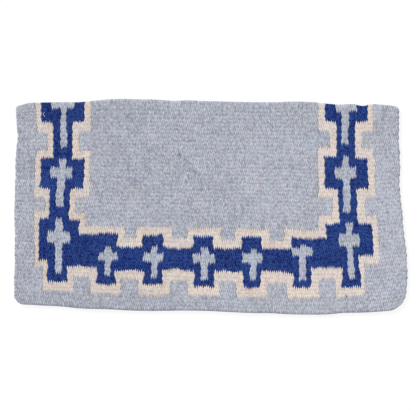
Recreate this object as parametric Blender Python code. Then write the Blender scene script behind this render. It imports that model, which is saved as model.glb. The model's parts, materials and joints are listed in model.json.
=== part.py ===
"""Hand-woven wool saddle blanket, folded in half over its spine and lying flat.

Every colour area of the cloth is a piece of its own, because each is built up from its own weft yarn.
The areas are cut flat, as woven, in cloth space: u runs along the spine, s runs from the spine to a hem,
and h is the height through the cloth from the face that ends up inside the fold. Then every point is laid
over the fold. The front leaf lies on the back leaf, and a narrow strip of the roll, the spine, joins them:
it turns on the back leaf, and the front leaf turns on it.
"""

import math

import bmesh
import bpy
from mathutils import Vector

# Cloth
CLOTH_WIDTH = 0.875  # selvedge to selvedge at the hem
CLOTH_THICKNESS = 0.006
YARN_GAP = 0.0003  # between neighbouring woven areas
HEM_SLANT = 0.0055  # how much longer the right half is than the left, at the selvedge
HEM_BOW = 0.0067  # how much the hem falls short at both selvedges
LEFT_HEM_CORNER = 0.015
RIGHT_HEM_CORNER = 0.031
LEFT_DRAW_IN = 0.004  # how far the left selvedge is drawn in near the spine
RIGHT_DRAW_IN = 0.020
DRAW_IN_START = 0.080  # distance from the spine where a selvedge starts to spread
DRAW_IN_END = 0.380
WAIST_DEPTH = 0.018  # how far the selvedges are pinched by the fold itself
WAIST_LENGTH = 0.022
BACK_LEAF_INSET = 0.002  # the lower leaf's edges lie this far inside the upper leaf's

# Fold
FOLD_ANGLE = math.radians(0.48)  # how far the fold runs down to the right, off square to the selvedges
FOLD_INSIDE_RADIUS = 0.0015
LEAF_GAP = 0.0005  # between the leaves where they lie flat
DRAPE_LENGTH = 0.055  # over which the upper leaf comes down from the fold
LEAF_TURN = math.radians(45)  # how much of the roll each leaf keeps

# Blue band down each side: a row of wide blocks joined by necks
LEFT_COLUMN_INSET = 0.1015  # from the selvedge to the middle of the blocks
RIGHT_COLUMN_INSET = 0.1245
BLOCK_WIDTH = 0.093
NECK_WIDTH = 0.044
FOLD_BLOCK_LENGTH = 0.046  # from the spine, which runs through its middle
UPPER_NECK_LENGTH = 0.080
MIDDLE_BLOCK_LENGTH = 0.066
LOWER_NECK_LENGTH = 0.074
CORNER_BLOCK_LENGTH = 0.083
CORNER_LEG_LENGTH = 0.059
HEM_MARGIN = 0.057  # from the end of the legs to the hem, down the middle of the cloth

# Blue band along the hem: upright blocks joined by a band
ROW_BLOCKS = 5
ROW_BLOCK_WIDTH = 0.042
ROW_TOP_DROP = 0.034  # from the start of the corner blocks to the row's upper edge
ROW_BLOCK_RISE = 0.027  # how far a block stands over the band
ROW_BAND_LENGTH = 0.048
ROW_LEG_LENGTH = 0.035

# Cream outline on both sides of the blue band
OUTLINE_ACROSS = 0.0138
OUTLINE_ALONG = 0.0215

# Crosses
STEM_WIDTH = 0.015
SIDE_ARM_SPAN = 0.047
SIDE_ARM_LENGTH = 0.026
SIDE_ARM_DROP = 0.019  # from a stem's top to its arms
MIDDLE_STEM_LENGTH = 0.109
CORNER_STEM_LENGTH = 0.119
FOLD_ARM_LENGTH = 0.018  # from the spine, which runs through the arms' middle
FOLD_STEM_LENGTH = 0.100  # from the spine
ROW_ARM_SPAN = 0.046
ROW_ARM_LENGTH = 0.019
ROW_ARM_DROP = 0.011
ROW_STEM_LENGTH = 0.068
ROW_STEM_START = 0.025  # from the upper edge of the block

# How finely curves are divided
CORNER_STEPS = 6
HEM_STEPS = 14
WAIST_STEPS = 4
ROLL_STEP = math.radians(15)
DRAPE_STEPS = 6
SPREAD_STEPS = 5

ROUGHNESS = 0.92
BLUE = (38, 60, 119)
CREAM = (214, 202, 194)
GREY_BLUE = (171, 175, 187)
CROSS_GREY = (162, 168, 182)

# Worked out from the sizes above
HALF_WIDTH = CLOTH_WIDTH / 2
LEFT_COLUMN_U = LEFT_COLUMN_INSET - HALF_WIDTH
RIGHT_COLUMN_U = HALF_WIDTH - RIGHT_COLUMN_INSET
CORNER_START = FOLD_BLOCK_LENGTH + UPPER_NECK_LENGTH + MIDDLE_BLOCK_LENGTH + LOWER_NECK_LENGTH
HALF_LENGTH = CORNER_START + CORNER_BLOCK_LENGTH + CORNER_LEG_LENGTH + HEM_MARGIN
OUTSIDE_RADIUS = FOLD_INSIDE_RADIUS + CLOTH_THICKNESS
MIDDLE_RADIUS = FOLD_INSIDE_RADIUS + CLOTH_THICKNESS / 2
QUARTER_TURN = MIDDLE_RADIUS * math.pi / 2
LEAF_START = MIDDLE_RADIUS * (math.pi / 2 - LEAF_TURN) + YARN_GAP / 2
STRIP_END = LEAF_START - YARN_GAP
FOLD_SLOPE = math.tan(FOLD_ANGLE)
SLOPED_SLANT = HEM_SLANT + FOLD_SLOPE * HALF_WIDTH
LOWEST_HEM = HALF_LENGTH + SLOPED_SLANT**2 / (4 * HEM_BOW)  # below the middle of the fold
FOLD_LEFT_END = (HALF_WIDTH - WAIST_DEPTH) * (1 - LEFT_DRAW_IN / HALF_WIDTH)
HIGHEST_FOLD = OUTSIDE_RADIUS + FOLD_SLOPE * FOLD_LEFT_END  # above the middle of the roll
FOLD_Y = (LOWEST_HEM - QUARTER_TURN + HIGHEST_FOLD) / 2 - HIGHEST_FOLD
FOLD_Z = OUTSIDE_RADIUS
COLUMN_PITCH = (RIGHT_COLUMN_U - LEFT_COLUMN_U) / (ROW_BLOCKS + 1)
ROW_TOP = CORNER_START + ROW_TOP_DROP  # distance from the spine
BAND_TOP = ROW_TOP + ROW_BLOCK_RISE
BAND_BOTTOM = BAND_TOP + ROW_BAND_LENGTH
LEG_BOTTOM = BAND_BOTTOM + ROW_LEG_LENGTH


def clear_scene():
    for thing in list(bpy.data.objects):
        bpy.data.objects.remove(thing)


def make_collection(name):
    collection = bpy.data.collections.new(name)
    bpy.context.scene.collection.children.link(collection)
    return collection


def linear(srgb):
    """A colour given as three numbers up to 255, in the linear values that a shader takes."""

    def channel(value):
        share = value / 255
        return share / 12.92 if share <= 0.04045 else ((share + 0.055) / 1.055) ** 2.4

    return (*map(channel, srgb), 1.0)


def wool(name, colour):
    material = bpy.data.materials.new(name)
    material.use_nodes = True
    shader = material.node_tree.nodes["Principled BSDF"]
    shader.inputs["Base Color"].default_value = linear(colour)
    shader.inputs["Roughness"].default_value = ROUGHNESS
    shader.inputs["Metallic"].default_value = 0.0
    material.diffuse_color = linear(colour)
    return material


def ease(share):
    """0 to 1 with no kink at either end."""
    share = min(max(share, 0.0), 1.0)
    return share * share * (3 - 2 * share)


def hem(u):
    """Distance from the spine to the hem, at u along the spine."""
    share = u / HALF_WIDTH
    return HALF_LENGTH + HEM_SLANT * share - HEM_BOW * share * share


def waist(s):
    """How far the fold pinches the selvedge at the distance s from the spine."""
    return WAIST_DEPTH * max(0.0, 1 - abs(s) / WAIST_LENGTH) ** 2


def spread(u, s):
    """Where a thread at u lies: the cloth is drawn in near the spine and spreads towards the hem."""
    drawn = 1 - ease((abs(s) - DRAW_IN_START) / (DRAW_IN_END - DRAW_IN_START))
    draw_in = RIGHT_DRAW_IN if u > 0 else LEFT_DRAW_IN
    return u * (1 - draw_in / HALF_WIDTH * drawn)


def laid(u, s, h):
    """A point of the cloth laid over the fold: s is positive on the front leaf, negative on the back leaf."""
    away = abs(s)
    side = 1 if s >= 0 else -1
    radius = FOLD_INSIDE_RADIUS + h
    x = spread(u, s)
    middle_y = FOLD_Y - FOLD_SLOPE * x
    if away < QUARTER_TURN:
        turn = away / MIDDLE_RADIUS
        return Vector((x, middle_y + radius * math.cos(turn), FOLD_Z + side * radius * math.sin(turn)))
    height = FOLD_Z + side * radius
    if side > 0:
        height -= (2 * FOLD_INSIDE_RADIUS - LEAF_GAP) * ease((away - QUARTER_TURN) / DRAPE_LENGTH)
    return Vector((x, middle_y - (away - QUARTER_TURN), height))


def steps_between(start, end, count):
    return [start + (end - start) * i / count for i in range(count + 1)]


def leaf_cuts():
    """Distances from the spine where a leaf needs an edge across it, to follow the roll, the drape and the spread."""
    roll = steps_between(
        MIDDLE_RADIUS * (math.pi / 2 - LEAF_TURN), QUARTER_TURN, round(LEAF_TURN / ROLL_STEP)
    )
    drape = steps_between(QUARTER_TURN, QUARTER_TURN + DRAPE_LENGTH, DRAPE_STEPS)
    widening = steps_between(DRAW_IN_START, DRAW_IN_END, SPREAD_STEPS)
    return roll[1:] + drape[1:] + widening


def strip_cuts():
    half = MIDDLE_RADIUS * (math.pi / 2 - LEAF_TURN)
    return steps_between(-half, half, round(2 * half / MIDDLE_RADIUS / ROLL_STEP))[1:-1]


def woven_plate(name, rings, cuts, lay, colour, collection):
    """One woven area: its outline and any holes in cloth space, thickened, creased at the cuts and laid down."""
    outline = bpy.data.curves.new(name, "CURVE")
    outline.dimensions = "2D"
    outline.fill_mode = "BOTH"
    outline.extrude = CLOTH_THICKNESS / 2
    for ring in rings:
        spline = outline.splines.new("POLY")
        spline.points.add(len(ring) - 1)
        spline.use_cyclic_u = True
        for point, (u, s) in zip(spline.points, ring):
            point.co = (u, -s, 0.0, 1.0)
    guide = bpy.data.objects.new(name + "_outline", outline)
    guide.location.z = CLOTH_THICKNESS / 2
    collection.objects.link(guide)
    bpy.context.view_layer.update()
    flat = bpy.data.meshes.new_from_object(guide.evaluated_get(bpy.context.evaluated_depsgraph_get()))
    flat.transform(guide.matrix_world)
    bpy.data.objects.remove(guide)
    bpy.data.curves.remove(outline)

    cloth = bmesh.new()
    cloth.from_mesh(flat)
    bmesh.ops.remove_doubles(cloth, verts=cloth.verts, dist=YARN_GAP / 10)
    bmesh.ops.dissolve_limit(
        cloth, angle_limit=ROLL_STEP / 100, verts=cloth.verts, edges=cloth.edges
    )
    for s in cuts:
        everything = cloth.verts[:] + cloth.edges[:] + cloth.faces[:]
        bmesh.ops.bisect_plane(cloth, geom=everything, plane_co=(0, -s, 0), plane_no=(0, 1, 0))
    for vert in cloth.verts:
        vert.co = lay(vert.co.x, -vert.co.y, vert.co.z)
    bmesh.ops.triangulate(cloth, faces=cloth.faces)
    bmesh.ops.recalc_face_normals(cloth, faces=cloth.faces)
    cloth.to_mesh(flat)
    cloth.free()

    flat.name = name
    piece = bpy.data.objects.new(name, flat)
    collection.objects.link(piece)
    flat.materials.append(wool(name, colour))
    return piece


def outset(path, across, along):
    """A stepped path moved out to its right-hand side, by across where it runs along s and along where it runs along u."""
    moves = []
    for (u0, s0), (u1, s1) in zip(path, path[1:]):
        if abs(s1 - s0) > abs(u1 - u0):
            moves.append((-across if s1 > s0 else across, 0.0))
        else:
            moves.append((0.0, along if u1 > u0 else -along))
    before = [(0.0, 0.0)] + moves
    after = moves + [(0.0, 0.0)]
    return [(u + a[0] + b[0], s + a[1] + b[1]) for (u, s), a, b in zip(path, before, after)]


def column_steps():
    """The blue band down one side: (half width, where it ends) from the spine to the corner block."""
    lengths_and_widths = (
        (FOLD_BLOCK_LENGTH, BLOCK_WIDTH),
        (UPPER_NECK_LENGTH, NECK_WIDTH),
        (MIDDLE_BLOCK_LENGTH, BLOCK_WIDTH),
        (LOWER_NECK_LENGTH, NECK_WIDTH),
        (CORNER_BLOCK_LENGTH, BLOCK_WIDTH),
        (CORNER_LEG_LENGTH, NECK_WIDTH),
    )
    steps = []
    end = 0.0
    for length, width in lengths_and_widths:
        end += length
        steps.append((width / 2, end))
    return steps


def column_side(centre, side, steps):
    """The corners of a column's outer or inner edge, from the spine to the end of its last step."""
    corners = []
    start = LEAF_START
    for half_width, end in steps:
        corners += [(centre + side * half_width, start), (centre + side * half_width, end)]
        start = end
    return corners


def row_centres():
    return [LEFT_COLUMN_U + COLUMN_PITCH * (i + 1) for i in range(ROW_BLOCKS)]


def outer_path():
    """The blue band's edge towards the selvedges and the hem, from the left end of the spine to the right end."""
    steps = column_steps()
    path = column_side(LEFT_COLUMN_U, -1, steps)
    leg_end = steps[-1][1]
    path.append((LEFT_COLUMN_U + NECK_WIDTH / 2, leg_end))
    for centre in row_centres():
        left = centre - ROW_BLOCK_WIDTH / 2
        right = centre + ROW_BLOCK_WIDTH / 2
        path += [(path[-1][0], BAND_BOTTOM), (left, BAND_BOTTOM), (left, LEG_BOTTOM), (right, LEG_BOTTOM)]
    left = RIGHT_COLUMN_U - NECK_WIDTH / 2
    path += [(path[-1][0], BAND_BOTTOM), (left, BAND_BOTTOM), (left, leg_end)]
    return path + column_side(RIGHT_COLUMN_U, 1, steps)[::-1]


def inner_path():
    """The blue band's edge towards the field, from the left end of the spine to the right end."""
    steps = column_steps()[:-2]
    path = column_side(LEFT_COLUMN_U, 1, steps)
    path += [(LEFT_COLUMN_U + BLOCK_WIDTH / 2, CORNER_START), (LEFT_COLUMN_U + BLOCK_WIDTH / 2, ROW_TOP)]
    centres = row_centres()
    for left_block, right_block in zip(centres, centres[1:]):
        notch_start = left_block + ROW_BLOCK_WIDTH / 2
        notch_end = right_block - ROW_BLOCK_WIDTH / 2
        path += [
            (notch_start, ROW_TOP),
            (notch_start, BAND_TOP),
            (notch_end, BAND_TOP),
            (notch_end, ROW_TOP),
        ]
    path += [(RIGHT_COLUMN_U - BLOCK_WIDTH / 2, ROW_TOP), (RIGHT_COLUMN_U - BLOCK_WIDTH / 2, CORNER_START)]
    return path + column_side(RIGHT_COLUMN_U, -1, steps)[::-1]


def selvedge_u(s, inset):
    return HALF_WIDTH - inset - waist(s)


def cloth_edge(inset):
    """The leaf's own edge: down the left selvedge, along the hem and up the right selvedge."""
    down = [LEAF_START] + steps_between(QUARTER_TURN, WAIST_LENGTH, WAIST_STEPS)
    left = [(-selvedge_u(s, inset), s) for s in down]
    right = [(selvedge_u(s, inset), s) for s in reversed(down)]
    half = HALF_WIDTH - inset
    edge = left

    left_centre = -half + LEFT_HEM_CORNER
    for angle in steps_between(0.0, math.pi / 2, CORNER_STEPS):
        edge.append(
            (
                left_centre - LEFT_HEM_CORNER * math.cos(angle),
                hem(left_centre) - inset - LEFT_HEM_CORNER * (1 - math.sin(angle)),
            )
        )
    right_centre = half - RIGHT_HEM_CORNER
    for u in steps_between(left_centre, right_centre, HEM_STEPS)[1:-1]:
        edge.append((u, hem(u) - inset))
    for angle in steps_between(math.pi / 2, 0.0, CORNER_STEPS):
        edge.append(
            (
                right_centre + RIGHT_HEM_CORNER * math.cos(angle),
                hem(right_centre) - inset - RIGHT_HEM_CORNER * (1 - math.sin(angle)),
            )
        )
    return edge + right


def fold_cross(centre, grown):
    """The half of a cross that a leaf has at the spine, from its left end at the spine to its right end."""
    arm = SIDE_ARM_SPAN / 2 + grown
    stem = STEM_WIDTH / 2 + grown
    return [
        (centre - arm, LEAF_START),
        (centre - arm, FOLD_ARM_LENGTH + grown),
        (centre - stem, FOLD_ARM_LENGTH + grown),
        (centre - stem, FOLD_STEM_LENGTH + grown),
        (centre + stem, FOLD_STEM_LENGTH + grown),
        (centre + stem, FOLD_ARM_LENGTH + grown),
        (centre + arm, FOLD_ARM_LENGTH + grown),
        (centre + arm, LEAF_START),
    ]


def whole_cross(centre, top, stem_length, arm_span, arm_length, arm_drop, grown):
    """The twelve corners of an upright cross whose stem starts at top."""
    arm = arm_span / 2 + grown
    stem = STEM_WIDTH / 2 + grown
    arms_top = top + arm_drop - grown
    arms_bottom = top + arm_drop + arm_length + grown
    bottom = top + stem_length + grown
    return [
        (centre - stem, top - grown),
        (centre - stem, arms_top),
        (centre - arm, arms_top),
        (centre - arm, arms_bottom),
        (centre - stem, arms_bottom),
        (centre - stem, bottom),
        (centre + stem, bottom),
        (centre + stem, arms_bottom),
        (centre + arm, arms_bottom),
        (centre + arm, arms_top),
        (centre + stem, arms_top),
        (centre + stem, top - grown),
    ]


def crosses(grown):
    """Name and outline of every cross that lies whole on a leaf, each side grown by the same width."""
    block_start = FOLD_BLOCK_LENGTH + UPPER_NECK_LENGTH
    side_arms = (SIDE_ARM_SPAN, SIDE_ARM_LENGTH, SIDE_ARM_DROP, grown)
    row_arms = (ROW_ARM_SPAN, ROW_ARM_LENGTH, ROW_ARM_DROP, grown)
    found = {}
    for side, centre in (("left", LEFT_COLUMN_U), ("right", RIGHT_COLUMN_U)):
        found[f"cross_{side}_middle"] = whole_cross(centre, block_start, MIDDLE_STEM_LENGTH, *side_arms)
        found[f"cross_{side}_corner"] = whole_cross(centre, CORNER_START, CORNER_STEM_LENGTH, *side_arms)
    for number, centre in enumerate(row_centres(), 1):
        top = ROW_TOP + ROW_STEM_START
        found[f"cross_row_{number}"] = whole_cross(centre, top, ROW_STEM_LENGTH, *row_arms)
    return found


def make_leaf(leaf, side, inset, collection):
    """One half of the blanket: margin, outlines, blue band, crosses and field."""
    cuts = leaf_cuts()

    def lay(u, s, h):
        return laid(u, side * s, h)

    def area(name, rings, colour):
        return woven_plate(f"{leaf}_{name}", rings, cuts, lay, colour, collection)

    outer = outer_path()
    inner = inner_path()
    far_across = OUTLINE_ACROSS + YARN_GAP
    far_along = OUTLINE_ALONG + YARN_GAP
    outer_near = outset(outer, YARN_GAP, YARN_GAP)
    outer_far = outset(outer, OUTLINE_ACROSS, OUTLINE_ALONG)
    inner_near = outset(inner, -YARN_GAP, -YARN_GAP)
    inner_far = outset(inner, -OUTLINE_ACROSS, -OUTLINE_ALONG)

    area("margin", [cloth_edge(inset) + outset(outer, far_across, far_along)[::-1]], GREY_BLUE)
    area("outer_outline", [outer_far + outer_near[::-1]], CREAM)
    area("inner_outline", [inner_near + inner_far[::-1]], CREAM)
    area("field", [outset(inner, -far_across, -far_along)], GREY_BLUE)

    left_notch = fold_cross(LEFT_COLUMN_U, YARN_GAP)
    right_notch = fold_cross(RIGHT_COLUMN_U, YARN_GAP)
    band = outer + right_notch[::-1] + inner[::-1] + left_notch[::-1]
    area("blue_band", [band, *crosses(YARN_GAP).values()], BLUE)
    area("cross_left_fold", [fold_cross(LEFT_COLUMN_U, 0.0)], CROSS_GREY)
    area("cross_right_fold", [fold_cross(RIGHT_COLUMN_U, 0.0)], CROSS_GREY)
    for name, outline in crosses(0.0).items():
        area(name, [outline], CROSS_GREY)


def make_spine(collection):
    """The strip of the roll between the leaves, with the same areas side by side."""
    cuts = strip_cuts()
    half_block = BLOCK_WIDTH / 2
    half_arms = SIDE_ARM_SPAN / 2
    outlined = half_block + OUTLINE_ACROSS

    def area(name, left, right, colour):
        along = [-STRIP_END, 0.0, STRIP_END]
        left_side = [(left(s), s) for s in along]
        right_side = [(right(s), s) for s in reversed(along)]
        woven_plate(f"spine_{name}", [left_side + right_side], cuts, laid, colour, collection)

    def at(u):
        return lambda s: u

    def selvedge(side):
        return lambda s: side * selvedge_u(s, BACK_LEAF_INSET)

    left_edges = selvedge(-1), at(LEFT_COLUMN_U - outlined - YARN_GAP)
    right_edges = at(RIGHT_COLUMN_U + outlined + YARN_GAP), selvedge(1)
    field_edges = at(LEFT_COLUMN_U + outlined + YARN_GAP), at(RIGHT_COLUMN_U - outlined - YARN_GAP)
    area("left_margin", *left_edges, GREY_BLUE)
    area("field", *field_edges, GREY_BLUE)
    area("right_margin", *right_edges, GREY_BLUE)
    for name, centre, outward in (("left", LEFT_COLUMN_U, -1), ("right", RIGHT_COLUMN_U, 1)):
        ranges = {
            f"{name}_cross_arms": (-half_arms, half_arms, CROSS_GREY),
            f"{name}_blue_outer": (half_arms + YARN_GAP, half_block, BLUE),
            f"{name}_outer_outline": (half_block + YARN_GAP, outlined, CREAM),
            f"{name}_blue_inner": (-half_block, -half_arms - YARN_GAP, BLUE),
            f"{name}_inner_outline": (-outlined, -half_block - YARN_GAP, CREAM),
        }
        for piece, (near, far, colour) in ranges.items():
            left, right = sorted((centre + outward * near, centre + outward * far))
            area(piece, at(left), at(right), colour)


def main():
    clear_scene()
    collection = make_collection("Saddle blanket")
    make_leaf("front", 1, 0.0, collection)
    make_leaf("back", -1, BACK_LEAF_INSET, collection)
    make_spine(collection)


main()
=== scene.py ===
"""Hand-woven wool saddle blanket, folded in half over its spine, lying flat and seen from above.

The cloth is built bead by bead: every rib is a row of weft beads, each lying over one warp cord, and
neighbouring ribs are half a bead out of step. A bead takes the colour of the area that its middle lies in,
so the colours meet in teeth along the ribs and in a zigzag across them, as they do in tapestry weave.
"""

import json
import math

import bpy
import numpy as np
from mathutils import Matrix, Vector


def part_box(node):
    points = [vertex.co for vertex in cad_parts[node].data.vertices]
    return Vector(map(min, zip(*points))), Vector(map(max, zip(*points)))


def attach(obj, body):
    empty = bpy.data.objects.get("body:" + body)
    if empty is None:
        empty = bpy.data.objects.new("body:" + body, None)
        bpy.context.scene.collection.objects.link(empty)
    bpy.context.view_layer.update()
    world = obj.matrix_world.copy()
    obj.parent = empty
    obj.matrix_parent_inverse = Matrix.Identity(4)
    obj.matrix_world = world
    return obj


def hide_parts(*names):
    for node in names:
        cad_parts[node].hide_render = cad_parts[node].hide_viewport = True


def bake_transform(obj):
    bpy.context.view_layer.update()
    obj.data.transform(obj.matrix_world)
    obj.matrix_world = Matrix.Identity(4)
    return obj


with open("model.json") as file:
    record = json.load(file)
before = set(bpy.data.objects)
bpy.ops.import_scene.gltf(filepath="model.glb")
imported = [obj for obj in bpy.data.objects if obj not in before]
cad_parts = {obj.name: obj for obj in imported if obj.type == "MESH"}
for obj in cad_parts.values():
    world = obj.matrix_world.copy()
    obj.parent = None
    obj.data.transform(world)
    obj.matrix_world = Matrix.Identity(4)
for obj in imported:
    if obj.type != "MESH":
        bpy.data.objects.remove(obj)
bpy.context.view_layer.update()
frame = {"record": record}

# Cloth, as the solids have it
CLOTH_THICKNESS = 0.006
FOLD_INSIDE_RADIUS = 0.0015
FOLD_ANGLE = math.radians(0.48)
LEAF_TURN = math.radians(45)  # how much of the fold each leaf keeps
LEAF_GAP = 0.0005
DRAPE_LENGTH = 0.055  # over which the upper leaf comes down from the fold
BACK_LEAF_INSET = 0.002
LEFT_DRAW_IN = 0.004  # how far each selvedge is drawn in at the fold
RIGHT_DRAW_IN = 0.020
DRAW_IN_START = 0.080
DRAW_IN_END = 0.380
LEFT_WAIST = 0.0150  # how much further in each end of the fold itself lies
RIGHT_WAIST = 0.0035
LEFT_WAIST_LENGTH = 0.0064
RIGHT_WAIST_LENGTH = 0.0040
LEFT_HEM_CORNER = 0.021
RIGHT_HEM_CORNER = 0.036

HALF_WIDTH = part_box("front_margin")[1].x
JOINTS = {joint["name"]: joint for joint in frame["record"]["behaviour"]["joints"]}
LOWER_HINGE = Vector(JOINTS["spine_turn"]["pos_m"])
FOLD_SLOPE = math.tan(FOLD_ANGLE)
MIDDLE_RADIUS = FOLD_INSIDE_RADIUS + CLOTH_THICKNESS / 2
OUTSIDE_RADIUS = FOLD_INSIDE_RADIUS + CLOTH_THICKNESS
QUARTER_TURN = MIDDLE_RADIUS * math.pi / 2
FOLD_Y = LOWER_HINGE.y - OUTSIDE_RADIUS * math.cos(LEAF_TURN)
FOLD_Z = OUTSIDE_RADIUS  # height of the fold's middle

# Photograph: its scale, and where the middle of the fold is in it
FRAME_PIXELS = 416
PIXEL = 0.002226
MIDDLE_COLUMN_PIXEL = 210.5
FOLD_PIXEL = 101.2

# Weave
COLUMNS = 194  # half beads from the middle to a selvedge
COLUMN = HALF_WIDTH / COLUMNS
RIBS = 56
FOLD_ROWS = 8  # rows of points over the first rib, which bends round the fold
RIB_ROWS = 4  # the same over each of the others
RIB_DEPTH = 0.0011  # from a crest down to the valley between ribs
BEAD_ROUNDNESS = 0.6
VALLEY_SHARE = 0.35  # height of the cloth between two beads of a rib
TIP_LENGTH = 0.0012  # how far a bead's point reaches into the next rib
TOOTH_LENGTH = 0.0034  # the same where two colours meet
TOOTH_UNEVENNESS = 0.70
TOOTH_SEED = 7
ROW_ROOM = 0.0002  # least distance between two rows of points
ZIGZAG_EASING = 0.30  # share of a column by which a steep colour edge's zigzag is eased
RIM_DROP = 0.0016  # how much each face sinks at the rim
RIM_BULGE = 0.0009  # how far the rim's middle stands out
RIM_SCALLOP = 0.0005  # how far every other rib's end stands out, and the rest in
EDGE_REACH = 0.060  # how far in from a selvedge its unevenness is felt
SMOOTHED_COLUMNS = 3.5  # over which a bend of the ribs is eased
SMOOTHING_REACH = 3  # how many times as far the easing is felt
MEETING_SLACK = 0.5  # pixels past its ends over which a pattern edge still draws a rib to it
RIB_PAST_FOLD = -1  # stands for the rib line of an edge that runs over the fold

# Waves of the cloth on its floor: height, length along x, length down the leaf, and start
WAVES = (
    (0.0011, 0.31, 0.52, 0.4),
    (0.0008, 0.17, -0.29, 1.9),
    (0.0007, -0.11, 0.19, 3.1),
    (0.0004, 0.07, 0.09, 5.0),
)
FOLD_WAVE_SHARE = 0.3

# Faint crease that runs down from the middle of the fold
CREASE_PIXEL = 214.0
CREASE_WIDTH = 0.013
CREASE_RISE = 0.0009
CREASE_LENGTH = 0.270
CREASE_BREADTH = 0.09  # how far to each side the cloth is raised along it

# Outline of the leaf in pixels: distance down the photograph, and where each selvedge is
LEFT_SELVEDGE = (
    (100, 16.4), (112, 16.4), (120, 16.8), (128, 17.2), (136, 18.2), (146, 17.0), (152, 16.6),
    (160, 16.0), (168, 15.8), (176, 16.0), (184, 15.4), (192, 15.4), (200, 15.2), (208, 14.6),
    (224, 14.9), (232, 15.4), (240, 15.4), (248, 15.1), (264, 15.3), (272, 14.9), (280, 14.3),
    (288, 14.7), (296, 14.4), (312, 14.6),
)
RIGHT_SELVEDGE = (
    (100, 398.7), (112, 398.7), (128, 398.7), (144, 398.4), (152, 399.7), (160, 399.2), (168, 400.0),
    (176, 399.3), (184, 399.1), (192, 399.9), (200, 400.5), (208, 401.5), (216, 402.5), (224, 402.6),
    (232, 403.6), (240, 404.6), (248, 405.8), (256, 406.6), (264, 406.4), (272, 407.3), (280, 406.9),
    (288, 406.4), (296, 405.6), (312, 405.2),
)

# Distance across the photograph in pixels, and where the hem is or how far the fold dips
HEM = (
    (12, 303.6), (18, 303.8), (30, 304.2), (42, 305.0), (54, 305.4), (66, 306.3), (78, 307.8),
    (90, 308.3), (102, 308.5), (114, 309.0), (126, 309.8), (138, 310.2), (150, 310.4), (186, 310.0),
    (198, 310.1), (210, 310.4), (222, 311.1), (234, 311.7), (246, 312.2), (258, 312.7), (270, 312.5),
    (282, 313.4), (294, 313.9), (318, 314.2), (330, 313.8), (342, 312.3), (354, 312.2), (366, 312.0),
    (378, 311.2), (390, 310.2), (402, 309.0), (410, 308.6),
)
FOLD_DIPS = (
    (16, 4.5), (22.5, 4.5), (25, 3.8), (29, 3.0), (31, 2.6), (42, 2.2), (54, 1.9), (66, 1.7), (78, 1.7),
    (86, 0.9), (98, -0.3), (110, -1.6), (126, -2.1), (138, -1.8), (150, -1.9), (162, -1.3), (174, -0.4),
    (186, -1.2), (198, -0.9), (206, -0.6), (222, -0.3), (242, 0.1), (258, 0.1), (278, 0.0), (290, -0.8),
    (302, -0.8), (314, -0.3), (326, 0.9), (338, 1.9), (350, 1.2), (355, 1.3), (358, 2.2), (362, 3.0),
    (366, 2.6), (368.5, 1.5), (374, 1.1), (380, 1.5), (386, 1.9), (390, 2.2), (392, 2.5), (396, 3.1),
    (398, 4.0), (410, 4.0),
)
ABOVE_FOLD = 60.0  # a row well above the fold, where the edges that run over it end

# Pattern: corners of each colour edge in pixels, from the left end of the fold round to its right end
BLUE_OUTER_EDGE = (
    (41.8, ABOVE_FOLD), (41.8, 120.9), (53.0, 123.5), (53.0, 156.9), (45.0, 156.9), (41.1, 159.5),
    (40.2, 187.5), (50.4, 188.6), (49.3, 218.3), (39.1, 219.5), (39.3, 246.0), (38.4, 259.7),
    (47.8, 259.7), (47.3, 275.0), (46.0, 281.5), (67.9, 281.5), (67.3, 275.0), (67.5, 266.6),
    (80.0, 265.5), (97.6, 268.5), (97.6, 276.0), (96.4, 283.4), (115.3, 285.6), (115.2, 270.9),
    (131.0, 269.3), (144.1, 271.6), (144.1, 278.0), (143.2, 284.7), (162.6, 283.9), (162.7, 270.2),
    (175.0, 268.2), (194.5, 272.4), (194.5, 280.0), (193.5, 286.2), (213.9, 286.5), (213.8, 271.1),
    (222.0, 270.7), (243.6, 272.6), (243.6, 280.5), (242.6, 286.6), (251.3, 289.0), (260.6, 286.9),
    (260.7, 271.0), (280.0, 271.2), (294.2, 274.6), (294.2, 280.0), (292.9, 287.0), (312.1, 288.0),
    (310.9, 281.0), (311.0, 268.3), (342.4, 267.4), (342.4, 280.0), (341.9, 287.9), (362.2, 286.4),
    (361.0, 279.0), (360.7, 274.0), (357.9, 255.3), (373.5, 255.3), (372.3, 224.9), (357.8, 222.6),
    (356.4, 188.3), (368.9, 188.3), (367.5, 158.9), (354.8, 157.3), (354.8, 121.7), (367.5, 122.5),
    (367.5, ABOVE_FOLD),
)
BLUE_INNER_EDGE = (
    (84.8, ABOVE_FOLD), (84.8, 121.6), (72.6, 121.6), (72.6, 159.3), (84.6, 159.3), (83.3, 188.1),
    (70.8, 188.1), (68.2, 219.9), (79.3, 220.0), (78.7, 233.8), (92.0, 234.7), (101.0, 233.8),
    (106.6, 231.9), (110.5, 233.2), (118.2, 233.5), (116.9, 239.0), (116.8, 246.7), (130.0, 247.5),
    (142.2, 246.8), (142.2, 236.5), (163.8, 233.8), (163.8, 246.6), (178.0, 249.3), (193.4, 246.9),
    (193.4, 236.7), (213.0, 236.7), (213.0, 248.0), (227.0, 249.5), (241.9, 246.7), (241.9, 236.8),
    (261.7, 236.8), (261.7, 248.3), (277.0, 249.1), (291.8, 248.6), (291.8, 237.5), (312.0, 239.1),
    (326.9, 237.0), (326.0, 226.5), (340.0, 222.0), (337.6, 190.0), (325.0, 187.6), (324.5, 157.5),
    (336.8, 155.5), (336.6, 123.0), (325.1, 121.0), (325.1, ABOVE_FOLD),
)
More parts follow.
